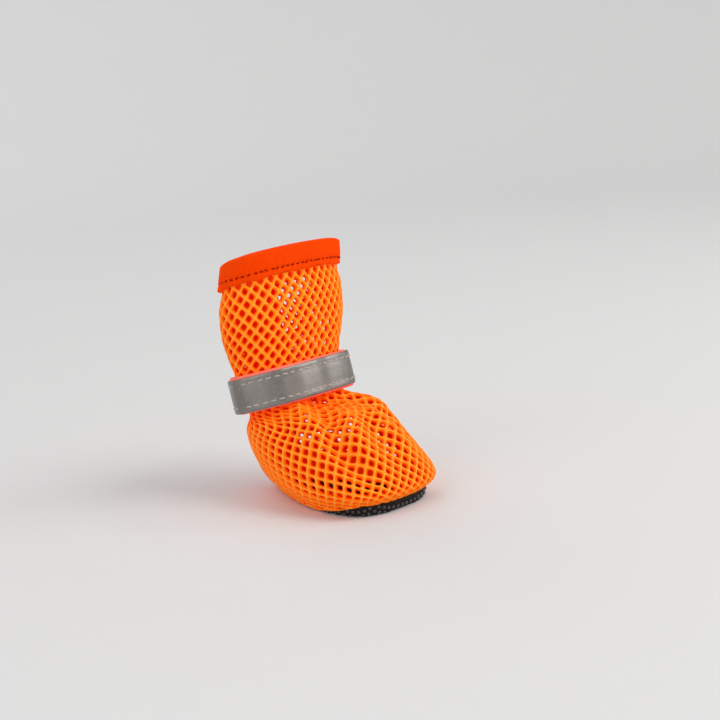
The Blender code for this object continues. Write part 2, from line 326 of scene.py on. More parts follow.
def newGroup(name, inputs, outputs):
    group = bpy.data.node_groups.new(name, "ShaderNodeTree")
    for label, kind, value in inputs:
        socket = group.interface.new_socket(label, in_out="INPUT", socket_type="NodeSocket" + kind)
        if value is not None:
            socket.default_value = value
    for label, kind in outputs:
        group.interface.new_socket(label, in_out="OUTPUT", socket_type="NodeSocket" + kind)
    return group, group.nodes.new("NodeGroupInput").outputs, group.nodes.new("NodeGroupOutput").inputs


def mathNode(tree, operation, first, second=0.0, **settings):
    item = tree.nodes.new("ShaderNodeMath")
    item.operation = operation
    for key, value in settings.items():
        setattr(item, key, value)
    for place, value in enumerate((first, second)):
        if isinstance(value, (int, float)):
            item.inputs[place].default_value = value
        else:
            tree.links.new(value, item.inputs[place])
    return item.outputs[0]


def mixColours(tree, factor, first, second):
    mix = addNode(tree, "Mix", data_type="RGBA")
    tree.links.new(factor, mix.inputs["Factor"])
    for key, value in (("A", first), ("B", second)):
        if isinstance(value, tuple):
            mix.inputs[key].default_value = value
        else:
            tree.links.new(value, mix.inputs[key])
    return mix.outputs["Result"]


def clothUv(group):
    # The two axes of the piece's UV map, whose units the piece sets
    uvMap = addNode(group, "UVMap", uv_map="cloth")
    split = addNode(group, "SeparateXYZ", None, {"Vector": uvMap.outputs["UV"]})
    return split.outputs["X"], split.outputs["Y"]


def toneGroup():
    # Soft patches and fine mottle of a second colour over the first
    group, given, out = newGroup("clothTone", (
        ("Colour", "Color", (0.8, 0.8, 0.8, 1)), ("Shade", "Color", (0.3, 0.3, 0.3, 1)),
        ("Patches", "Float", 0.3), ("Mottle", "Float", 0.2), ("Scale", "Float", 90.0)),
        (("Colour", "Color"),))
    place = addNode(group, "TexCoord").outputs["Object"]
    big = addNode(group, "TexNoise", {"Detail": 2.0, "Roughness": 0.5},
                  {"Vector": place, "Scale": given["Scale"]})
    fine = addNode(group, "TexNoise", {"Scale": 1700.0, "Detail": 3.0, "Roughness": 0.6}, {"Vector": place})
    bigMask = addNode(group, "MapRange", {"From Min": 0.35, "From Max": 0.70},
                      {"Value": big.outputs["Fac"]})
    fineMask = addNode(group, "MapRange", {"From Min": 0.40, "From Max": 0.72},
                       {"Value": fine.outputs["Fac"]})
    share = mathNode(group, "ADD", mathNode(group, "MULTIPLY", bigMask.outputs["Result"], given["Patches"]),
                     mathNode(group, "MULTIPLY", fineMask.outputs["Result"], given["Mottle"]), use_clamp=True)
    group.links.new(mixColours(group, share, given["Colour"], given["Shade"]), out["Colour"])
    return group


def yarnGroup():
    # Twisted yarn: the UV runs along the yarn and across it, from its crest (0) round to its back (1).
    # The painted highlight along the crest leaves the middle near the knots, where two yarns lie side by
    # side.
    group, given, out = newGroup("yarnTwist", (
        ("Twists", "Float", 1.0), ("Slant", "Float", 2.0), ("Crest Place", "Float", 0.1),
        ("Crest Width", "Float", 0.08), ("Inner Start", "Float", 0.4)),
        (("Height", "Float"), ("Crest Highlight", "Float"), ("Inner Shade", "Float")))
    along, across = clothUv(group)
    turns = 2 * math.pi
    phase = mathNode(group, "ADD", mathNode(group, "MULTIPLY", along, given["Twists"]),
                     mathNode(group, "MULTIPLY", across, given["Slant"]))
    wave = mathNode(group, "SINE", mathNode(group, "MULTIPLY", phase, turns))
    fibre = addNode(group, "TexNoise", {"Scale": 5200.0, "Detail": 2.0},
                    {"Vector": addNode(group, "TexCoord").outputs["Object"]})
    height = mathNode(group, "ADD", mathNode(group, "MULTIPLY", wave, 0.5),
                      mathNode(group, "MULTIPLY", fibre.outputs["Fac"], 0.8))
    group.links.new(height, out["Height"])
    # The crest mask lays a painted highlight along the top of the yarn
    knots = mathNode(group, "COSINE", mathNode(group, "MULTIPLY", along, 4 * turns))
    knots = mathNode(group, "ADD", mathNode(group, "MULTIPLY", knots, 0.5), 0.5)
    middle = mathNode(group, "MULTIPLY", knots, given["Crest Place"])
    away = mathNode(group, "ABSOLUTE", mathNode(group, "SUBTRACT", across, middle))
    crestHighlight = addNode(group, "MapRange", {"From Min": 0.0, "To Min": 1.0, "To Max": 0.0},
                    {"Value": away, "From Max": given["Crest Width"]}, interpolation_type="SMOOTHSTEP")
    wavy = mathNode(group, "ADD", mathNode(group, "MULTIPLY", fibre.outputs["Fac"], 0.8), 0.5)
    group.links.new(mathNode(group, "MULTIPLY", crestHighlight.outputs["Result"], wavy, use_clamp=True), out["Crest Highlight"])
    # Painted shade over the back of the yarn, the side inside the boot, from Inner Start on
    past = mathNode(group, "SUBTRACT", across, given["Inner Start"])
    group.links.new(mathNode(group, "MULTIPLY", past, 6.0, use_clamp=True), out["Inner Shade"])
    return group


def weaveGroup():
    # Fine ribbed tape: UV in millimetres, X along the tape and Y across it
    group, given, out = newGroup("tapeWeave", (
        ("Rib", "Float", 0.55), ("Thread", "Float", 0.28)), (("Height", "Float"), ("Gap Shade", "Float")))
    waves = []
    for axis, pitch in zip(clothUv(group), ("Rib", "Thread")):
        repeats = mathNode(group, "DIVIDE", axis, given[pitch])
        waves.append(mathNode(group, "COSINE", mathNode(group, "MULTIPLY", repeats, 2 * math.pi)))
    ribs, threads = waves
    crossed = mathNode(group, "MULTIPLY", ribs, threads)
    fuzz = addNode(group, "TexNoise", {"Scale": 6000.0, "Detail": 2.0},
                   {"Vector": addNode(group, "TexCoord").outputs["Object"]})
    height = mathNode(group, "ADD", mathNode(group, "ADD", ribs, mathNode(group, "MULTIPLY", crossed, 0.45)),
                      mathNode(group, "MULTIPLY", fuzz.outputs["Fac"], 0.6))
    group.links.new(height, out["Height"])
    # Painted shade in the valleys between the ribs
    gapShade = addNode(group, "MapRange", {"From Min": -0.2, "From Max": -0.95}, {"Value": ribs})
    group.links.new(gapShade.outputs["Result"], out["Gap Shade"])
    return group


def beadGroup():
    # Tiny glass beads of reflective tape: grain in the height, and a mask of the ones that sparkle
    group, given, out = newGroup("glassBeads", (
        ("Scale", "Float", 4200.0), ("Sparkle", "Float", 0.6)), (("Height", "Float"), ("Sparkle", "Float")))
    place = addNode(group, "TexCoord").outputs["Object"]
    cells = addNode(group, "TexVoronoi", {"Randomness": 1.0}, {"Vector": place, "Scale": given["Scale"]})
    grain = addNode(group, "TexNoise", {"Scale": 1500.0, "Detail": 4.0, "Roughness": 0.7}, {"Vector": place})
    beads = mathNode(group, "MULTIPLY", cells.outputs["Distance"], -1.0)
    group.links.new(mathNode(group, "ADD", beads, grain.outputs["Fac"]), out["Height"])
    bright = addNode(group, "MapRange", {"From Min": 0.42, "From Max": 0.75}, {"Value": grain.outputs["Fac"]})
    sparkle = mathNode(group, "MULTIPLY", bright.outputs["Result"], given["Sparkle"], use_clamp=True)
    group.links.new(sparkle, out["Sparkle"])
    return group


groups = {"tone": toneGroup(), "yarn": yarnGroup(), "weave": weaveGroup(), "beads": beadGroup()}
print("shader groups built:", ", ".join(groups))


def startMaterial(name, look):
    # A Principled material with the look's plain values, and its tree
    material = bpy.data.materials.new(name)
    material.use_nodes = True
    shader = material.node_tree.nodes["Principled BSDF"]
    for key, value in look.items():
        shader.inputs[key].default_value = value
    return material, material.node_tree, shader


def placeGroup(tree, kind, values=None, links=None):
    item = tree.nodes.new("ShaderNodeGroup")
    item.node_tree = groups[kind]
    for key, value in (values or {}).items():
        item.inputs[key].default_value = value
    for key, socket in (links or {}).items():
        tree.links.new(socket, item.inputs[key])
    return item.outputs


def toneOver(tree, colour, shade, patches, mottle, scale=90.0):
    given = {"Colour": colour, "Shade": shade, "Patches": patches, "Mottle": mottle, "Scale": scale}
    return placeGroup(tree, "tone", given)["Colour"]


def addBump(tree, shader, height, strength, distance):
    bump = addNode(tree, "Bump", {"Strength": strength, "Distance": distance}, {"Height": height})
    tree.links.new(bump.outputs["Normal"], shader.inputs["Normal"])


netLook = {
    # The red emission is painted glow: it keeps the mesh bright red in its shade and in the holes, standing
    # in for the fluorescent dye's glow and for light bounced inside the boot
    "plain": {"Roughness": 0.55, "Specular IOR Level": 0.25, "Specular Tint": (1.0, 0.42, 0.06, 1),
              "Emission Strength": 0.15, "Emission Color": (1.0, 0.02, 0.0, 1)},
    "yarn": (1.0, 0.245, 0.005, 1),
    "shade": (1.0, 0.150, 0.002, 1),
    # painted highlight along the yarns' crests
    "crestHighlight": (1.0, 0.435, 0.045, 1),
    # painted shade: deep red for the yarns' inner side, where the inside of the boot lies in shade
    "inner": (0.80, 0.015, 0.0, 1),
}


def netMaterial(look):
    material, tree, shader = startMaterial("meshYarn", look["plain"])
    tone = toneOver(tree, look["yarn"], look["shade"], 0.35, 0.35)
    yarn = placeGroup(tree, "yarn", {"Twists": 4.0, "Slant": 1.5, "Crest Place": 0.06, "Crest Width": 0.095,
                                     "Inner Start": 0.40})
    # painted shade on the yarns' inner side
    colour = mixColours(tree, yarn["Inner Shade"], tone, look["inner"])
    # painted highlight along the crests
    colour = mixColours(tree, yarn["Crest Highlight"], colour, look["crestHighlight"])
    tree.links.new(colour, shader.inputs["Base Color"])
    addBump(tree, shader, yarn["Height"], 0.5, 0.00010)
    return material


tapeLook = {
    # The red emission is painted glow: it keeps the tape bright red in its shade, standing in for the
    # fluorescent dye's glow and for bounced light
    "plain": {"Roughness": 0.7, "Specular IOR Level": 0.2, "Specular Tint": (1.0, 0.30, 0.04, 1),
              "Emission Strength": 0.14, "Emission Color": (1.0, 0.012, 0.0, 1)},
    "thread": (0.97, 0.088, 0.001, 1),
    "shade": (0.82, 0.045, 0.001, 1),
    # gap: painted shade in the valleys between the ribs
    "gap": (0.55, 0.020, 0.001, 1),
}


def tapeMaterial(name, look):
    material, tree, shader = startMaterial(name, look["plain"])
    tone = toneOver(tree, look["thread"], look["shade"], 0.35, 0.35)
    weave = placeGroup(tree, "weave")
    # painted shade between the ribs
    colour = mixColours(tree, mathNode(tree, "MULTIPLY", weave["Gap Shade"], 0.45), tone, look["gap"])
    tree.links.new(colour, shader.inputs["Base Color"])
    addBump(tree, shader, weave["Height"], 0.45, 0.00007)
    return material


webbingLook = {
    # The pink-red emission is painted glow: it keeps the webbing bright in its shade, standing in for the
    # fluorescent dye's glow and for bounced light
    "plain": {"Roughness": 0.65, "Specular IOR Level": 0.25, "Specular Tint": (1.0, 0.6, 0.5, 1),
              "Emission Strength": 0.12, "Emission Color": (1.0, 0.12, 0.09, 1)},
    "thread": (1.0, 0.250, 0.180, 1),
    "shade": (0.95, 0.160, 0.100, 1),
    # gap: painted shade in the valleys between the ribs
    "gap": (0.80, 0.090, 0.050, 1),
}

reflectiveLook = {
    "plain": {"Metallic": 0.78, "Roughness": 0.38, "Specular IOR Level": 0.5},
    "film": (0.246, 0.221, 0.203, 1),
    "shade": (0.165, 0.155, 0.145, 1),
    "spark": (0.360, 0.345, 0.325, 1),
}


def reflectiveMaterial(look):
    material, tree, shader = startMaterial("reflectiveFilm", look["plain"])
    tone = toneOver(tree, look["film"], look["shade"], 0.5, 0.3, 160.0)
    beads = placeGroup(tree, "beads", {"Sparkle": 0.4})
    colour = mixColours(tree, beads["Sparkle"], tone, look["spark"])
    tree.links.new(colour, shader.inputs["Base Color"])
    addBump(tree, shader, beads["Height"], 0.25, 0.00005)
    return material


soleLook = {
    "plain": {"Roughness": 0.6, "Specular IOR Level": 0.2},
    "fabric": (0.0050, 0.0042, 0.0040, 1),
    "dust": (0.014, 0.012, 0.011, 1),
}
nubLook = {
    "plain": {"Roughness": 0.16, "Specular IOR Level": 0.6, "Coat Weight": 0.6, "Coat Roughness": 0.12},
    "rubber": (0.008, 0.0075, 0.0075, 1),
    "dust": (0.022, 0.020, 0.019, 1),
}


def soleMaterial(look):
    material, tree, shader = startMaterial("soleFabric", look["plain"])
    tone = toneOver(tree, look["fabric"], look["dust"], 0.4, 0.5)
    tree.links.new(tone, shader.inputs["Base Color"])
    weave = placeGroup(tree, "weave", {"Rib": 0.45, "Thread": 0.45})
    addBump(tree, shader, weave["Height"], 0.5, 0.00008)
    return material


def nubMaterial(look):
    material, tree, shader = startMaterial("soleNub", look["plain"])
    tone = toneOver(tree, look["rubber"], look["dust"], 0.3, 0.6)
    tree.links.new(tone, shader.inputs["Base Color"])
    return material


threadLooks = {
    "stitchRed": {"plain": {"Roughness": 0.7, "Specular IOR Level": 0.1,
                            "Specular Tint": (1.0, 0.2, 0.05, 1)},
                  "colour": (0.36, 0.010, 0.001, 1), "shade": (0.20, 0.004, 0.0005, 1)},
    "stitchGrey": {"plain": {"Roughness": 0.6, "Sheen Weight": 0.1},
                   "colour": (0.55, 0.50, 0.46, 1), "shade": (0.36, 0.32, 0.29, 1)},
}


def threadMaterial(name, look):
    material, tree, shader = startMaterial(name, look["plain"])
    tone = toneOver(tree, look["colour"], look["shade"], 0.3, 0.5)
    tree.links.new(tone, shader.inputs["Base Color"])
    yarn = placeGroup(tree, "yarn", {"Twists": 3.0, "Slant": 1.0})
    addBump(tree, shader, yarn["Height"], 0.6, 0.00005)
    return material


materials = {
    "net": netMaterial(netLook),
    "tape": tapeMaterial("bindingTape", tapeLook),
    "webbing": tapeMaterial("strapWebbing", webbingLook),
    "reflective": reflectiveMaterial(reflectiveLook),
    "sole": soleMaterial(soleLook),
    "nub": nubMaterial(nubLook),
    "stitchRed": threadMaterial("stitchRed", threadLooks["stitchRed"]),
    "stitchGrey": threadMaterial("stitchGrey", threadLooks["stitchGrey"]),
}
print("materials built:", len(materials))

# The net: every cell is one hole, and the yarns between the holes are rounded and share their crests

net = {
    "across": 0.00175,  # half the repeat round the boot
    "down": 0.00205,  # half the repeat down the boot
    "start": 0.0035,  # first row, hidden in the collar tape
    "hole": 0.62,  # share of the cell that is open
    "holePower": 3.3,
    "thickness": 0.00125,
    "loose": 0.00005,
    "footStretch": 0.05,  # how much larger the foot's cells are
    "stretchRows": 60,  # rows of the skin over which that sets in
    "shear": 0.12,  # stiffness of the diagonals against the yarns' own
    "least": 0.72,  # a span pressed below this share of its length grows stiff
    "crowd": 12,  # how stiff
    "pace": 0.9,
    "rounds": 500,
    "nudge": 0.002,  # step round the boot that gives the skin's slope
    "farthest": (0.003, 2),  # largest move in one round: place round the boot and rows
    "crushed": 0.30,  # share of its area under which a cell is eased
    "easeEvery": 5,
    "easeLast": 20,  # at the end every round eases
    "settle": (60, 0.7),  # rounds and pace with which the rows find their depth
    "girth": 0.110,  # round the boot, where it is slim
    "spare": 3,  # points kept past the back seam
    "spareRows": 3.5,  # and below the hem
    "hemStep": 0.0006,  # metres for a row below the hem
    "pinched": 0.4,  # a hole narrower than this share is counted
    "corners": 4,  # points on each side of a cell
    # From the crest to the rim and back inside: share of the yarn's half width, height from 1 to -1.
    # The inner layer of the knit reaches further into the hole than the outer one.
    "profile": ((0.0, 1.0), (0.50, 0.93), (0.80, 0.66), (0.96, 0.20), (1.0, -0.20), (1.20, -0.42),
                (1.27, -0.68), (1.05, -0.92), (0.0, -1.0)),
}
# The same section for the larger piece, with fewer rings to keep it light
footProfile = ((0.0, 1.0), (0.54, 0.92), (0.86, 0.56), (1.0, -0.05), (1.19, -0.42), (1.26, -0.74),
               (0.0, -1.0))


def beyond(field, around, row):
    # The skin's points, carried straight on below its lowest row
    below = np.minimum(row, 0)[..., None]
    return sample(field, around, row) + below * (sample(field, around, 1) - sample(field, around, 0))


def easeTangles(around, row, free, shape):
    # Where cells are crushed or turned over, their points move between their neighbours
    inner = (slice(1, -1), slice(1, -1))
    east, west = (slice(2, None), slice(1, -1)), (slice(0, -2), slice(1, -1))
    north, south = (slice(1, -1), slice(0, -2)), (slice(1, -1), slice(2, None))
    points = beyond(skin, around, row)
    facing = sample(skinOut, around[inner], np.maximum(row[inner], 0))
    area = (np.cross(points[east] - points[west], points[north] - points[south]) * facing).sum(-1)
    crushed = np.zeros(row.shape, bool)
    crushed[inner] = area < shape["crushed"] * 4 * shape["across"] * shape["down"]
    for _ in range(2):
        crushed[inner] |= crushed[east] | crushed[west] | crushed[north] | crushed[south]
    moved = crushed[inner] & free[inner] & free[east] & free[west] & free[south]
    result = []
    for values in (around, row):
        values = values.copy()
        mean = (values[east] + values[west] + values[north] + values[south]) / 4
        values[inner] = np.where(moved, mean, values[inner])
        result.append(values)
    return result


def netStart(shape):
    # The lattice laid straight on the skin from the middle of the front, before its springs move it
    halfRound = int(ringLength.max() / 2 / shape["across"]) + 3
    deep = int((downLength.max() - shape["start"]) / shape["down"]) + 4
    across, down = np.meshgrid(np.arange(-halfRound, halfRound + 1), np.arange(deep + 1), indexing="ij")
    aside, depth = across * shape["across"], down * shape["down"] + shape["start"]
    row = np.full(aside.shape, float(topRow))
    rounds, pace = shape["settle"]
    for _ in range(rounds):
        around = 0.5 + aside / np.interp(row, np.arange(topRow + 1), ringLength)
        here = sample(downLength, around, row)
        slope = (sample(downLength, around, row - 1) - sample(downLength, around, row + 1)) / 2
        row = np.clip(row + pace * (here - depth) / np.maximum(slope, 1e-6), 0, topRow)
    over = np.maximum(depth - sample(downLength, around, 0), 0)
    row = np.where(over > 0, -over / shape["hemStep"], row)
    reach = 0.5 + shape["spare"] * shape["across"] / shape["girth"]
    active = (np.abs(around - 0.5) < reach) & (over < shape["spareRows"] * shape["down"])
    return around, row, active


def netPlaces(shape):
    # Place round the boot and row of every lattice point, once its springs rest on the skin
    around, row, active = netStart(shape)
    stretch = 1 + shape["footStretch"] * np.clip((strapRow - row) / shape["stretchRows"], 0, 1)
    held = row > strapRow
    springs = []
    for stepAcross, stepDown in ((1, 1), (1, -1), (2, 0), (0, 2)):
        stiffness = 1.0 if stepAcross * stepDown else shape["shear"]
        length = math.hypot(stepAcross * shape["across"], stepDown * shape["down"])
        springs.append((stepAcross, stepDown, stiffness, length))
    rows, columns = row.shape
    for turn in range(shape["rounds"]):
        if turn % shape["easeEvery"] == 0 or turn > shape["rounds"] - shape["easeLast"]:
            around, row = easeTangles(around, row, active & ~held, shape)
        point = beyond(skin, around, row)
        push, weight = np.zeros_like(point), np.zeros(row.shape)
        for stepAcross, stepDown, stiffness, length in springs:
            low, high = max(0, -stepDown), columns - max(0, stepDown)
            one = (slice(0, rows - stepAcross), slice(low, high))
            two = (slice(stepAcross, rows), slice(low + stepDown, high + stepDown))
            gap = point[two] - point[one]
            size = np.maximum(np.linalg.norm(gap, axis=-1), 1e-9)
            both = active[one] & active[two]
            rest = length * (stretch[one] + stretch[two]) / 2
            firm = stiffness * both * (1 + shape["crowd"] * np.clip(shape["least"] - size / rest, 0, 1))
            force = (firm * (size - rest) / size)[..., None] * gap
            push[one] += force
            push[two] -= force
            weight[one] += firm
            weight[two] += firm
        push *= (shape["pace"] / np.maximum(weight, 1e-9) * active * ~held)[..., None]
        # The push along the skin, as moves round it and up it
        nudge = shape["nudge"]
        roundward = (beyond(skin, around + nudge, row) - beyond(skin, around - nudge, row)) / (2 * nudge)
        upward = (beyond(skin, around, row + 1.0) - beyond(skin, around, row - 1.0)) / 2.0
        roundSquare, upSquare = (roundward**2).sum(-1), (upward**2).sum(-1)
        slant = (roundward * upward).sum(-1)
        pushRound, pushUp = (roundward * push).sum(-1), (upward * push).sum(-1)
        spread = np.maximum(roundSquare * upSquare - slant**2, 1e-16)
        moveRound = (pushRound * upSquare - pushUp * slant) / spread
        moveUp = (pushUp * roundSquare - pushRound * slant) / spread
        farRound, farUp = shape["farthest"]
        around = around + np.clip(moveRound, -farRound, farRound)
        row = np.minimum(row + np.clip(moveUp, -farUp, farUp), topRow)
    shake = np.random.default_rng(7).normal(0, shape["loose"], (2,) + row.shape)
    around = around + shake[0] / ringLength[hemCount]
    row = row + shake[1] / skinGrid["rowHeight"]
    outside = (around < 0) | (around > 1) | (row < 0) | ~active
    return np.clip(around, 0, 1), np.clip(row, 0, topRow), outside


def netCells(shape):
    # Corners of every cell as places round the boot and rows: east, south, west and north
    around, row, outside = netPlaces(shape)
    across, down = np.meshgrid(*(np.arange(1, size - 1) for size in around.shape), indexing="ij")
    odd = (across + down + around.shape[0] // 2) % 2 == 1
    across, down = across[odd], down[odd]
    corners = ((across + 1, down), (across, down + 1), (across - 1, down), (across, down - 1))
    kept = ~np.all([outside[corner] for corner in corners], axis=0)
    return np.stack([np.stack((around[corner], row[corner]), -1) for corner in corners], 1)[kept]


def buildNet(name, cells, shape):
    side = shape["corners"]
    count = side * 4
    step = np.linspace(1, -1, side + 1)[:-1]
    ones = np.ones(side)
    # A cell seen as a square with its corners east (1, 1), south (1, -1), west (-1, -1) and north (-1, 1)
    right = np.concatenate((ones, step, -ones, -step))
    upper = np.concatenate((step, -ones, -step, ones))
    power = shape["holePower"]
    rim = shape["hole"] / (np.abs(right) ** power + np.abs(upper) ** power) ** (1 / power)
    rings = []
    profile = shape["profile"]
    for share, height in profile:
        scale = 1 + (rim - 1) * share
        east, north = right * scale, upper * scale
        weights = np.stack(((1 + east) * (1 + north), (1 + east) * (1 - north),
                            (1 - east) * (1 - north), (1 - east) * (1 + north)), -1) / 4
        place = np.einsum("kc,ncd->nkd", weights, cells)
        offset = (height - 1) * shape["thickness"] / 2
        rings.append(onSkin(place[..., 0], place[..., 1], offset))
    points = np.stack(rings, 1)
    points[..., 2] = np.maximum(points[..., 2], 0.00002)  # nothing reaches into the floor
    faces = loopFaces(len(profile), count, False, True)
    full = net["profile"]
    crestToBack = np.interp([-height for _, height in profile], [-height for _, height in full],
                            np.linspace(0, 1, len(full)))
    uvs = loopUvs(np.arange(count + 1) / count, crestToBack)
    faces = (faces[None] + np.arange(len(cells))[:, None, None] * (len(profile) * count)).reshape(-1, 4)
    uvs = np.broadcast_to(uvs, (len(cells),) + uvs.shape)
    return newPiece(name, points, faces, uvs, materials["net"], "upper", weld=0.000004)


strapRow = rowOf(heightAt(boot["waist"]))
cells = netCells(net)
inShaft = cells[:, :, 1].mean(axis=1) > strapRow
buildNet("meshShaft", cells[inShaft], net)
buildNet("meshFoot", cells[~inShaft], dict(net, profile=footProfile))
spans = onSkin(cells[..., 0], cells[..., 1], 0)
spans = np.linalg.norm(spans[:, :2] - spans[:, 2:], axis=-1) / (2 * net["across"], 2 * net["down"])
pinched = int((spans.min(axis=1) < net["pinched"]).sum())
print("net built,", len(cells), "holes,", pinched, "of them pinched by the back seam")


def solidSheet(name, outer, inner, uvs, material, replaces=None, closedColumns=True):
    # A closed sheet between two grids of points, joined along their edges
    loop = np.concatenate((outer, inner[::-1]))
    rows, columns = loop.shape[:2]
    faces = loopFaces(rows, columns, True, closedColumns)
    alongs, acrosses = uvs
    acrosses = np.concatenate((acrosses, acrosses[::-1], acrosses[:1]))
    corners = loopUvs(alongs, acrosses)
    if not closedColumns:
        half = rows // 2
        number = np.arange(half - 1)
        ends = []
        for column in (0, columns - 1):
            edge = (number, number + 1, rows - 2 - number, rows - 1 - number)
            ends.append(np.stack(edge, -1) * columns + column)
        ends[1] = ends[1][:, ::-1]
        ends = np.concatenate(ends)
        faces = np.concatenate((faces, ends))
        corners = np.concatenate((corners, np.zeros((len(ends), 4, 2))))
    return newPiece(name, loop, faces, corners, material, replaces)


# Collar: ribbed tape folded over the top edge of the mesh

collar = {
    "width": 0.0083,
    "ribs": 222,
    "ribWidth": 0.55,  # millimetres of the weave that one rib takes
    "ribDepth": 0.00009,
    "topRib": 0.8,  # depth of the ribs over the top, as a share
    "innerRib": 0.6,  # and inside
    "perRib": 4,
    "edge": (0.0, 0.004, 0.02),  # shares of the width at which rings round the lower edge
    "edgeThickness": 0.45,
    "rings": (22, 10, 12),  # outside, over the top and inside
    "seamDrop": 0.0062,  # stitch line under the top
    "pucker": 0.00030,  # how deep the stitches pull the tape in
    "puckerRows": 3.5,
    "puckerWaves": 62,
    "puckerSwing": 0.25,  # share of the pucker that comes and goes
    "belly": 0.00018,
    "lean": 6,  # rows under the top edge that give its direction
    "slack": ((0.00020, 7, 0.2), (0.00014, 17, 0.6)),  # uneven lower edge: size, waves round, start
    "sag": {"place": 0.80, "reach": 0.07, "drop": 0.0006, "flare": 0.0004},
}


def collarProfile(around):
    # Rings of the tape from its outer lower edge over the top to its inner lower edge
    low = rowOf(boot["height"] - collar["width"])
    seam = rowOf(boot["height"] - collar["seamDrop"])
    rib = collar["ribDepth"] * np.cos(2 * np.pi * collar["ribs"] * around)
    slack = sum(size * np.sin(2 * np.pi * (waves * around + start)) for size, waves, start in collar["slack"])
    sag = np.exp(-(((around - collar["sag"]["place"]) / collar["sag"]["reach"]) ** 2))
    outside, inside = boot["gap"] + boot["tape"], -boot["wall"] - boot["gap"] - boot["tape"]
    edge = low + slack / skinGrid["rowHeight"]
    up = unit(sample(skin, around, topRow) - sample(skin, around, topRow - collar["lean"]))
    swing, thin = collar["puckerSwing"], collar["edgeThickness"]
    waves = 1 - swing + swing * np.cos(around * 2 * np.pi * collar["puckerWaves"])
    outerRings, topRings, innerRings = collar["rings"]
    rings, lengths = [], []
    for share in np.concatenate((collar["edge"], np.linspace(0.06, 1, outerRings))):
        row = edge + (topRow - edge) * share
        soft = min(1.0, share / collar["edge"][-1]) ** 0.5
        dent = collar["pucker"] * np.exp(-((row - seam) / collar["puckerRows"]) ** 2) * waves
        belly = collar["belly"] * math.sin(math.pi * share) + collar["sag"]["flare"] * sag * (1 - share) ** 3
        rings.append(onSkin(around, row, outside * (thin + (1 - thin) * soft) + rib * soft - dent + belly))
        rings[-1][:, 2] -= collar["sag"]["drop"] * sag * share
        lengths.append(share * collar["width"])
    middle = (outside + inside) / 2
    for angle in np.linspace(0, np.pi, topRings)[1:-1]:
        ribShare = (1 if angle < np.pi / 2 else collar["innerRib"]) * abs(math.cos(angle))
        offset = middle + (outside - middle) * math.cos(angle) + rib * ribShare
        lift = (boot["gap"] + boot["tape"] + rib * collar["topRib"]) * math.sin(angle)
        rings.append(onSkin(around, topRow, offset) + up * lift[:, None])
        rings[-1][:, 2] -= collar["sag"]["drop"] * sag
        lengths.append(collar["width"] + angle * (outside - middle))
    for share in np.linspace(1, 0, innerRings):
        row = edge + (topRow - edge) * share
        rings.append(onSkin(around, row, inside - rib * collar["innerRib"]))
        rings[-1][:, 2] -= collar["sag"]["drop"] * sag * share
        lengths.append(collar["width"] * (2 - share) + np.pi * (outside - middle))
    return np.array(rings), np.array(lengths)


def collarLining(around):
    # The tape's hidden side, from its outer to its inner edge
    low = rowOf(boot["height"] - collar["width"])
    outside, inside = boot["gap"], -boot["wall"] - boot["gap"]
    spots = [(low, outside), (topRow, outside), (topRow, inside), (low, inside)]
    return np.array([onSkin(around, row, offset) for row, offset in spots])


ribColumns = collar["ribs"] * collar["perRib"]
collarPlaces = np.arange(ribColumns) / ribColumns
collarOuter, collarLengths = collarProfile(collarPlaces)
collarInner = collarLining(collarPlaces)
collarLoop = np.concatenate((collarOuter, collarInner[::-1]))
collarAlongs = np.arange(ribColumns + 1) / ribColumns * (collar["ribs"] * collar["ribWidth"])
collarAcross = np.concatenate((collarLengths * 1000, collarLengths[[-1, -1, 0, 0]] * 1000, (0.0,)))
newPiece("collarTape", collarLoop, loopFaces(*collarLoop.shape[:2], True, True),
         loopUvs(collarAlongs, collarAcross), materials["tape"], "collar_binding")
print("collar built")

# Back: two ribbed tapes over the back seam

back = {
    "width": 0.0088,
    "rib": 0.00055,
    "ribDepth": 0.00008,
    "perRib": 4,
    "columns": 14,
    "measured": 400,  # points along the seam that give its length
    "below": 1.5,  # rows between the tapes and the collar's edge
    "edgeShare": 0.03,  # share of the width over which an edge is rounded
    "edgeThickness": 0.6,
    "tuckThickness": 0.3,
    "lining": 0.4,  # height of the hidden side, as a share of the gap
    "belly": 0.00022,
    "tuck": 0.0045,  # height over which the tape thins out toward the sole
    "waves": ((0.00020, 17.0, 1), (0.00012, 7.3, 2)),  # uneven outer edge: size, rows and start
}


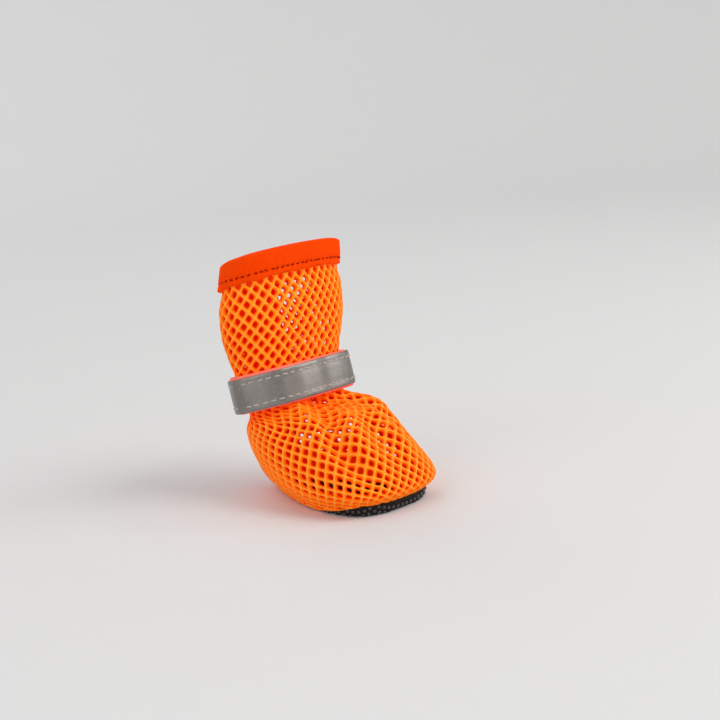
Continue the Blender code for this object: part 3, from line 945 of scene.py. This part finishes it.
def backTape(name, side, node):
    low = rowOf(boot["sideRise"] + boot["tape"])
    high = rowOf(boot["height"] - collar["width"]) - back["below"]
    seam = sample(skin, np.zeros(back["measured"]), np.linspace(low, high, back["measured"]))
    length = float(pathLengths(seam)[-1])
    count = int(length / back["rib"]) * back["perRib"]
    rows = np.linspace(low, high, count)
    roundLength = np.interp(rows, np.arange(topRow + 1), ringLength)
    shares = (1 - np.cos(np.linspace(0, np.pi, back["columns"]))) / 2
    wave = sum(size * np.sin(rows / reach + start * side) for size, reach, start in back["waves"])
    rib = back["ribDepth"] * np.cos(np.arange(count) * 2 * np.pi / back["perRib"])
    outer, inner = [], []
    tuck = np.clip((rows - low) / (rowOf(boot["sideRise"] + back["tuck"]) - low), 0, 1) ** 0.5
    tucked = back["tuckThickness"] + (1 - back["tuckThickness"]) * tuck
    thin = back["edgeThickness"]
    for share in shares:
        edge = min(1.0, min(share, 1 - share) / back["edgeShare"])
        place = side * (boot["gap"] / 2 + share * (back["width"] + wave * share)) / roundLength
        belly = back["belly"] * math.sin(math.pi * share)
        rise = boot["gap"] + boot["tape"] * (thin + (1 - thin) * edge) + belly * edge
        outer.append(onSkin(place, rows, rise * tucked + rib * edge))
        inner.append(onSkin(place, rows, boot["gap"] * back["lining"] * tuck))
    alongs = np.linspace(0, length * 1000, count)
    return solidSheet(name, np.array(outer), np.array(inner), (alongs, shares * back["width"] * 1000),
                      materials["tape"], node, closedColumns=False)


backTape("backTapeLeft", -1, "back_binding_left")
backTape("backTapeRight", 1, "back_binding_right")
print("back tapes built")

# Strap: webbing round the ankle with the reflective tape sewn on it

strap = {
    "tilt": 0.245,
    "end": 0.0029,  # how far the folded ends stand out from the mesh
    "ease": 0.0019,  # room between the strap and the front of the mesh
    "rearEase": 0.6,  # share of it at the back
    "bow": 4.0,  # power of its boxy outline
    "corner": 60,  # power of its folds at the ends
    "foldThickness": 0.35,
    "endShare": 0.8,  # share of a layer's height that widens the ends
    "ripples": ((0.00018, 9, 0.7), (0.00026, 5, 1.9), (0.00007, 17, 0.3)),  # size, waves and start
    "rippleFade": 6,  # power with which they go toward the ends
    "width": 0.0112,
    "thickness": 0.0011,
    "edgeShare": 0.04,  # share of the width over which an edge is rounded
    "dent": 0.00010,  # how deep the stitches pull a band in
    "dentReach": 0.0004,
    "filmWidth": 0.0101,
    "filmDrift": 0.00028,  # the film isn't sewn quite straight on the webbing
    "filmThickness": 0.0004,
    "filmGap": 0.3,  # height of its hidden side over the webbing, as a share of the gap
    "columns": 260,
    "stitchInset": 0.0017,
    "stitchStart": 0.015,  # share of a turn left bare beside the folded ends
}


def strapMiddle():
    # Middle of the loop along the boot, its half width and its half depth
    row = sectionsAt(np.interp(boot["waist"], levelRows[:, 0], levels))
    front, rear = row[1] * boot["soleLength"], row[2] * boot["soleLength"]
    room = boot["tape"] + 2 * boot["gap"] + strap["ease"] * strap["rearEase"]
    ahead, behind = front + strap["ease"], rear - room
    return (ahead + behind) / 2, row[4] * boot["soleWidth"] + strap["end"], (ahead - behind) / 2


def strapPoints(turn, across, offset):
    # Points on the band: turn runs once round it, across from its lower to its upper edge
    middle, half, depth = strapMiddle()
    turn, across, offset = np.broadcast_arrays(turn, across, offset)
    angle = np.mod(turn, 1.0) * 2 * np.pi
    share = -np.cos(angle)
    front = np.where(np.sin(angle) >= 0, 1.0, -1.0)
    rounding = (1 - np.abs(share) ** strap["corner"]) ** 0.5
    thin = strap["foldThickness"]
    bow = depth * (1 - np.abs(share) ** strap["bow"])
    bow = (boot["gap"] / 2 + offset) * (thin + (1 - thin) * rounding) + bow
    ripple = sum(size * np.sin(waves * angle + start) for size, waves, start in strap["ripples"])
    ripple = ripple * (1 - np.abs(share) ** strap["rippleFade"])
    forward = front * (bow + ripple)
    base = np.stack((share * (half + strap["endShare"] * offset), -(middle + forward),
                     heightAt(boot["waist"]) + strap["tilt"] * forward), axis=-1)
    axis = np.array((0, strap["tilt"], 1.0)) / math.hypot(strap["tilt"], 1.0)
    return base + axis * across[..., None]


def strapBand(name, offset, thickness, width, rows, finish, node, edgeLoss, drift=0.0):
    turns = np.arange(strap["columns"]) / strap["columns"]
    shares = (1 - np.cos(np.linspace(0, np.pi, rows))) / 2 - 0.5
    outer, inner = [], []
    for share in shares:
        fromEdge = 0.5 - abs(share)
        near = min(1.0, fromEdge / strap["edgeShare"])
        fromStitch = (fromEdge * width - strap["stitchInset"]) / strap["dentReach"]
        dent = strap["dent"] * math.exp(-(fromStitch**2))
        across = share * width - drift * np.cos(2 * np.pi * turns)
        outer.append(strapPoints(turns, across, offset + thickness * (1 - edgeLoss * (1 - near)) - dent))
        inner.append(strapPoints(turns, across, offset))
    steps = np.linalg.norm(np.roll(outer[0], -1, axis=0) - outer[0], axis=1)
    alongs = np.concatenate(((0,), np.cumsum(steps))) * 1000
    return solidSheet(name, np.array(outer), np.array(inner), (alongs, shares * width * 1000),
                      materials[finish], node)


strapBand("strapWebbing", 0, strap["thickness"], strap["width"], 13, "webbing", "strap", 0.5)
filmOffset = strap["thickness"] + boot["gap"] * strap["filmGap"]
strapBand("reflectiveTape", filmOffset, strap["filmThickness"], strap["filmWidth"], 15, "reflective",
          "reflective_tape", 0.35, strap["filmDrift"])
print("strap built")

# Sole: coated fabric with rows of small nubs, its edge curled up at the toe

sole = {
    "curl": 0.0012,
    "edge": 0.0008,
    "inset": 0.0012,
    "wall": 0.0010,
    "base": 0.00028,  # the fabric's height over the nubs' tips
    "nubPitch": 0.00185,
    "nubRadius": 0.00056,
    "rimTop": 0.0002,
    "curlInset": 0.0002,
    "every": 4,  # one column of the sole for so many of the skin
    "spine": 0.55,  # share of the length that the middle line takes
    "inside": (0.03, 0.3, 0.6, 0.85),  # rings between the middle line and the edge
    "nubReach": 0.035,  # nubs are sought this far from the middle
    "nubRows": 0.866,  # from row to row, as a share of the pitch
    "nubRoom": 0.8,  # from a nub's middle to the edge, as a share of its radius
    "nubCurl": 0.1,  # nubs go up the edge where it curls more than this
    "nubProfile": ((1.0, -0.35), (0.97, 0.25), (0.75, 0.72), (0.40, 0.95), (0.02, 1.0)),
    "nubSides": 8,
}
soleRim = seamRing[:, 2] - sole["rimTop"]
soleBend = sole["edge"] + (sole["curl"] - sole["edge"]) * curlShare
soleInset = sole["inset"] * (1 - curlShare) + sole["curlInset"] * curlShare
profileTurns = np.linspace(0, np.pi / 2, 14)


def soleRings(depth):
    rings = []
    for turn in profileTurns:
        inset = soleInset + depth + soleBend * (1 - math.sin(turn))
        ring = seamRing + seamInward * inset[:, None]
        ring[:, 2] = sole["base"] + depth + (soleRim - depth - sole["base"]) * (1 - math.cos(turn))
        rings.append(ring)
    return np.array(rings)


def soleInside(depth):
    # Rings of the flat bottom, from near its middle line out to its edge
    edge = soleRings(depth)[0]
    spine = edge.copy()
    spine[:, 0] = 0
    spine[:, 1] = np.clip(edge[:, 1], edge[:, 1].min() * sole["spine"], edge[:, 1].max() * sole["spine"])
    return np.array([spine + (edge - spine) * share for share in sole["inside"]])


def soleSheet(depth):
    return np.concatenate((soleInside(depth), soleRings(depth)))[:, ::sole["every"]]


soleOuter, soleInner = soleSheet(0), soleSheet(sole["wall"])
soleLoop = np.concatenate((soleOuter, soleInner[::-1]))
soleFaces = loopFaces(*soleLoop.shape[:2], False, True)
flat = soleLoop.reshape(-1, 3) * 1000
newPiece("soleFabric", soleLoop, soleFaces, flat[soleFaces][..., :2], materials["sole"],
         "sole")


def insideRing(spot, ring):
    # Whether a spot of the floor lies inside a closed ring
    x, y = ring[:, 0], ring[:, 1]
    nextX, nextY = np.roll(x, -1), np.roll(y, -1)
    crosses = (y > spot[1]) != (nextY > spot[1])
    reach = x + (spot[1] - y) / np.where(crosses, nextY - y, 1) * (nextX - x)
    return (crosses & (reach > spot[0])).sum() % 2 == 1


def nubPlaces():
    # Middle and outward direction of each nub: a staggered lattice folded up over the curled edge
    rings = soleRings(0)
    bottom = rings[0]
    steps = np.linalg.norm(np.diff(rings, axis=0), axis=-1)
    climbs = np.concatenate((np.zeros((1, len(places))), np.cumsum(steps, axis=0)))
    pitch = sole["nubPitch"]
    found = []
    normals = outward(rings)
    reach = int(sole["nubReach"] / pitch)
    room = sole["nubRadius"] * sole["nubRoom"]
    for down in range(-reach * 2, reach * 2 + 1):
        y = down * pitch * sole["nubRows"]
        for side in range(-reach, reach + 1):
            x = (side + 0.5 * (down % 2)) * pitch
            away = bottom[:, :2] - (x, y)
            nearest = int(np.argmin((away**2).sum(axis=1)))
            distance = float(np.linalg.norm(away[nearest]))
            if insideRing((x, y), bottom):
                if distance > room:
                    found.append(((x, y, sole["base"]), (0, 0, -1)))
            elif curlShare[nearest] > sole["nubCurl"] and distance < climbs[-1, nearest] - room:
                row = np.interp(distance, climbs[:, nearest], np.arange(len(rings)))
                low = min(int(row), len(rings) - 2)
                part = row - low
                point = rings[low, nearest] * (1 - part) + rings[low + 1, nearest] * part
                facing = normals[low, nearest] * (1 - part) + normals[low + 1, nearest] * part
                found.append((tuple(point), tuple(facing)))
    return np.array([item[0] for item in found]), unit(np.array([item[1] for item in found]))


def buildNubs(middles, facings):
    # A low dome on every middle, each a cap of a few rings
    profile, sides = sole["nubProfile"], sole["nubSides"]
    helper = np.where(np.abs(facings[:, 2:]) > 0.9, (1.0, 0, 0), (0, 0, 1.0))
    first = unit(np.cross(helper, facings))
    second = np.cross(facings, first)
    turns = np.arange(sides) / sides * 2 * np.pi
    circle = first[:, None] * np.cos(turns)[:, None] + second[:, None] * np.sin(turns)[:, None]
    rings = []
    for share, lift in profile:
        out = circle * sole["nubRadius"] * share
        rings.append(middles[:, None] + out + facings[:, None] * sole["base"] * lift)
    points = np.stack(rings, 1)
    faces = loopFaces(len(profile), sides, False, True)
    faces = (faces[None] + np.arange(len(middles))[:, None, None] * (len(profile) * sides)).reshape(-1, 4)
    return newPiece("soleNubs", points, faces, None, materials["nub"], "sole")


nubMiddles, nubFacings = nubPlaces()
buildNubs(nubMiddles, nubFacings)
print("sole built,", len(nubMiddles), "nubs")

# Tape inside the boot over the seam, from the sole's inner face up the mesh

seamTape = {
    "height": 0.0060,
    "onSole": 0.0034,
    "bend": 0.4,  # share of it at which the tape leaves the sole
    "toeInset": 0.0012,  # how much further in its edge lies at the toe
    "bendRings": ((0.0009, 0.15, 0.0002), (0.0, 0.35, 0.0008)),  # inset, share of the curl and rise
    "columns": 480,
    "ribs": 160,
    "ribWidth": 0.9,  # millimetres of the weave that one rib takes
    "ribDepth": 0.00006,
    "bulge": 0.00012,
    "rings": (0.0, 0.3, 0.6, 0.85, 0.97, 1.0),  # shares of the height
}


def seamTapeRings(depth):
    around = np.arange(seamTape["columns"]) / seamTape["columns"]
    step = skinGrid["columns"] // seamTape["columns"]
    rib = seamTape["ribDepth"] * np.cos(2 * np.pi * seamTape["ribs"] * around)
    clear = boot["wall"] + boot["gap"] + depth + (rib + seamTape["bulge"] if depth else 0)
    curl = curlShare[::step] * (boot["toeRise"] - boot["sideRise"])
    floor = sole["base"] + sole["wall"] + boot["gap"] / 2 + depth
    bend = boot["gap"] + sole["wall"] + seamTape["onSole"] * seamTape["bend"]
    edge = bend + seamTape["onSole"] * (1 - seamTape["bend"]) + seamTape["toeInset"] * curlShare[::step]
    spots = [(edge, floor)]
    for inset, curlPart, rise in seamTape["bendRings"]:
        spots.append((bend + depth + inset, floor + curl * curlPart + rise))
    rings = []
    for inset, height in spots:
        ring = seamRing[::step] + seamInward[::step] * np.reshape(inset, (-1, 1))
        ring[:, 2] = height
        rings.append(ring)
    for share in seamTape["rings"]:
        row = hemCount + share * (rowOf(boot["sideRise"] + seamTape["height"]) - hemCount)
        rings.append(onSkin(around, row, -clear))
    return np.array(rings)


seamOuter, seamInner = seamTapeRings(boot["tape"]), seamTapeRings(0)
perRib = seamTape["columns"] / seamTape["ribs"]
seamAlongs = np.arange(seamTape["columns"] + 1) / perRib * seamTape["ribWidth"]
seamLengths = pathLengths(seamOuter[:, 0]) * 1000
solidSheet("seamTape", seamOuter, seamInner, (seamAlongs, seamLengths), materials["tape"],
           "seam_binding")
print("seam tape built")

# Stitches: short rounded threads that dive into the cloth at both ends

stitchForm = {
    "start": 0.15,  # share of the pitch before the first stitch
    "rings": 7,
    "sides": 7,
    "arch": (0.6, 1.5, 0.9),  # power, rise and dive of the thread, in its radius
    "endThickness": 0.55,
    "caps": ((0, 1, 2, 3), (0, 3, 4, 6)),
}


def buildStitches(name, path, normals, look, material):
    # Stitches along a path of points, one every pitch
    lengths = pathLengths(path)
    count = round(lengths[-1] / look["pitch"])
    pitch = lengths[-1] / count
    rng = np.random.default_rng(3)
    starts = (np.arange(count) + stitchForm["start"] + rng.normal(0, look["uneven"], count)) * pitch
    ringCount, sides = stitchForm["rings"], stitchForm["sides"]
    shares = np.linspace(0, 1, ringCount)
    spots = starts[:, None] + look["length"] * shares
    centre = np.stack([np.interp(spots, lengths, path[:, axis]) for axis in range(3)], -1)
    facing = unit(np.stack([np.interp(spots, lengths, normals[:, axis]) for axis in range(3)], -1))
    along = unit(np.gradient(centre, axis=1))
    across = unit(np.cross(along, facing))
    swing = rng.normal(0, look["radius"] * look["swing"], (count, 1, 1)) * (shares[:, None] - 0.5) * 2
    power, rise, dive = stitchForm["arch"]
    arch = (np.sin(np.pi * shares) ** power * rise - dive)[:, None] * look["radius"]
    centre = centre + facing * arch + across * swing
    turns = np.arange(sides) / sides * 2 * np.pi
    thin = stitchForm["endThickness"]
    thick = look["radius"] * (thin + (1 - thin) * np.sin(np.pi * shares) ** 0.5)[:, None, None]
    circle = across[:, :, None] * np.cos(turns)[:, None] + facing[:, :, None] * np.sin(turns)[:, None]
    rings = centre[:, :, None] + thick * circle
    faces = loopFaces(ringCount, sides, False, True)
    uvs = loopUvs(np.arange(sides + 1) / sides, shares)[..., ::-1]
    caps = np.array(stitchForm["caps"])
    ends = np.concatenate((caps[:, ::-1], caps + (ringCount - 1) * sides))
    faces = np.concatenate((faces, ends))
    uvs = np.concatenate((uvs, np.zeros((len(ends), 4, 2))))
    faces = (faces[None] + np.arange(count)[:, None, None] * (ringCount * sides)).reshape(-1, 4)
    uvs = np.broadcast_to(uvs, (count,) + uvs.shape)
    return newPiece(name, rings, faces, uvs, material)


collarStitch = {"pitch": 0.00185, "length": 0.00130, "radius": 0.00021, "uneven": 0.08, "swing": 0.9,
                "points": 600}
backStitch = {"pitch": 0.0023, "length": 0.0016, "radius": 0.00015, "uneven": 0.04, "swing": 0.4,
              "points": 500,
              "lines": (0.12, 0.86),  # shares of the tape's width
              "low": 0.0060,
              "below": 3,  # rows between the stitches and the collar's edge
              "rise": 0.00008}
strapStitch = {"pitch": 0.0026, "length": 0.0018, "radius": 0.00024, "uneven": 0.03, "swing": 0.25,
               "points": 600,
               "sink": 0.00006}

seamPlaces = np.linspace(0, 1, collarStitch["points"])
seamRow = np.full(seamPlaces.shape, rowOf(boot["height"] - collar["seamDrop"]))
path = onSkin(seamPlaces, seamRow, np.full(seamPlaces.shape, boot["gap"] + boot["tape"]))
buildStitches("collarStitches", path, sample(skinOut, seamPlaces, seamRow), collarStitch,
              materials["stitchRed"])
high = rowOf(boot["height"] - collar["width"]) - backStitch["below"]
rows = np.linspace(rowOf(backStitch["low"]), high, backStitch["points"])
rise = np.full(rows.shape, boot["gap"] + boot["tape"] + backStitch["rise"])
for side, label in ((-1, "Left"), (1, "Right")):
    for number, share in enumerate(backStitch["lines"]):
        place = side * share * back["width"] / np.interp(rows, np.arange(topRow + 1), ringLength)
        path = onSkin(place, rows, rise)
        buildStitches("backStitches%s%d" % (label, number + 1), path, sample(skinOut, place, rows),
                      backStitch, materials["stitchRed"])
for label, edge in (("Lower", -1), ("Upper", 1)):
    for half, start in (("Front", 0.0), ("Back", 0.5)):
        turns = np.linspace(strap["stitchStart"], 0.5 - strap["stitchStart"], strapStitch["points"])
        turns = start + turns
        drift = strap["filmDrift"] * np.cos(2 * np.pi * turns)
        across = edge * (strap["filmWidth"] / 2 - strap["stitchInset"]) - drift
        offset = filmOffset + strap["filmThickness"]
        path = strapPoints(turns, across, offset - strapStitch["sink"])
        facing = unit(strapPoints(turns, across, offset + 0.0005) - path)
        buildStitches("strapStitches" + label + half, path, facing, strapStitch,
                      materials["stitchGrey"])
print("stitches built")

# Camera, floor and light

cameraLook = {
    "azimuth": -44.6,
    "elevation": 11.2,
    "roll": -4.3,
    "distance": 0.450,
    "sensor": 36.0,
    "lens": 76.5,
    "aimPoint": (0.0, 0.0, 0.040),
    "aimPixel": (328.4, 363.6),
    "photoSide": 720.0,
}


def buildCamera(look):
    camera = bpy.data.objects.new("camera", bpy.data.cameras.new("camera"))
    bpy.context.scene.collection.objects.link(camera)
    bpy.context.scene.camera = camera
    camera.data.sensor_width = look["sensor"]
    camera.data.lens = look["lens"]
    pixels = look["lens"] / camera.data.sensor_width * look["photoSide"]
    turn, lift = math.radians(look["azimuth"]), math.radians(look["elevation"])
    back = Vector((math.sin(turn) * math.cos(lift), -math.cos(turn) * math.cos(lift), math.sin(lift)))
    middle = look["photoSide"] / 2
    toAim = Vector(((look["aimPixel"][0] - middle) / pixels, (middle - look["aimPixel"][1]) / pixels, -1.0))
    ahead = Vector((0, 0, -1))
    camera.rotation_mode = "QUATERNION"
    roll = Quaternion((0, 0, 1), math.radians(look["roll"]))
    camera.rotation_quaternion = (-back).to_track_quat("-Z", "Y") @ roll @ toAim.rotation_difference(ahead)
    camera.location = Vector(look["aimPoint"]) + back * look["distance"]


studio = {
    "floorColour": (0.78, 0.78, 0.78, 1),
    "flat": 0.9,
    "wall": 1.6,
    "wallHeight": 1.2,
    "sides": 96,
    "flatRings": 8,
    "wallRings": 14,
    "middle": 0.001,  # radius of the innermost ring
    "aim": (0, 0, 0.04),
    "world": (1.0, 1.0, 1.0, 1),
    "worldStrength": 0.50,
    "lights": (  # name, place, size, power, colour
        ("key", (0.35, -0.95, 1.05), 0.8, 7.6, (1.0, 0.98, 0.95)),
        ("fill", (-1.05, -0.10, 0.60), 0.9, 3.0, (0.96, 0.98, 1.0)),
        ("rear", (0.30, 1.00, 0.90), 0.8, 2.2, (1.0, 1.0, 1.0)),
        ("satin", (0.62, -0.62, 0.34), 0.22, 1.2, (1.0, 1.0, 1.0)),
    ),
}


def buildStudio(look):
    # Floor that rises into a round wall far behind, so that no edge shows in any view
    bend = np.linspace(0, np.pi / 2, look["wallRings"])[1:]
    flatRadii = np.linspace(look["middle"], look["flat"], look["flatRings"])
    wallRadii = look["flat"] + (look["wall"] - look["flat"]) * np.sin(bend)
    radii = np.concatenate((flatRadii, wallRadii))[:, None]
    heights = np.concatenate((0 * flatRadii, look["wallHeight"] * (1 - np.cos(bend))))[:, None]
    turns = np.arange(look["sides"]) / look["sides"] * 2 * np.pi
    grid = np.stack((radii * np.cos(turns), radii * np.sin(turns), heights + 0 * turns), -1)
    mesh = bpy.data.meshes.new("floor")
    faces = loopFaces(len(radii), look["sides"], False, True)
    mesh.from_pydata(grid.reshape(-1, 3).tolist(), [], faces.tolist())
    mesh.shade_smooth()
    material, tree, shader = startMaterial("paleFloor", {"Roughness": 0.9, "Base Color": look["floorColour"]})
    mesh.materials.append(material)
    floor = bpy.data.objects.new("floor", mesh)
    bpy.context.scene.collection.objects.link(floor)
    world = bpy.data.worlds.new("studio")
    world.use_nodes = True
    world.node_tree.nodes["Background"].inputs["Color"].default_value = look["world"]
    world.node_tree.nodes["Background"].inputs["Strength"].default_value = look["worldStrength"]
    bpy.context.scene.world = world
    for name, place, size, power, colour in look["lights"]:
        lamp = bpy.data.objects.new(name, bpy.data.lights.new(name, "AREA"))
        lamp.data.size, lamp.data.energy, lamp.data.color = size, power, colour
        lamp.location = place
        lamp.rotation_mode = "QUATERNION"
        lamp.rotation_quaternion = (Vector(look["aim"]) - Vector(place)).to_track_quat("-Z", "Y")
        bpy.context.scene.collection.objects.link(lamp)
    bpy.context.scene.view_settings.view_transform = "Standard"


buildCamera(cameraLook)
buildStudio(studio)
print("studio built")
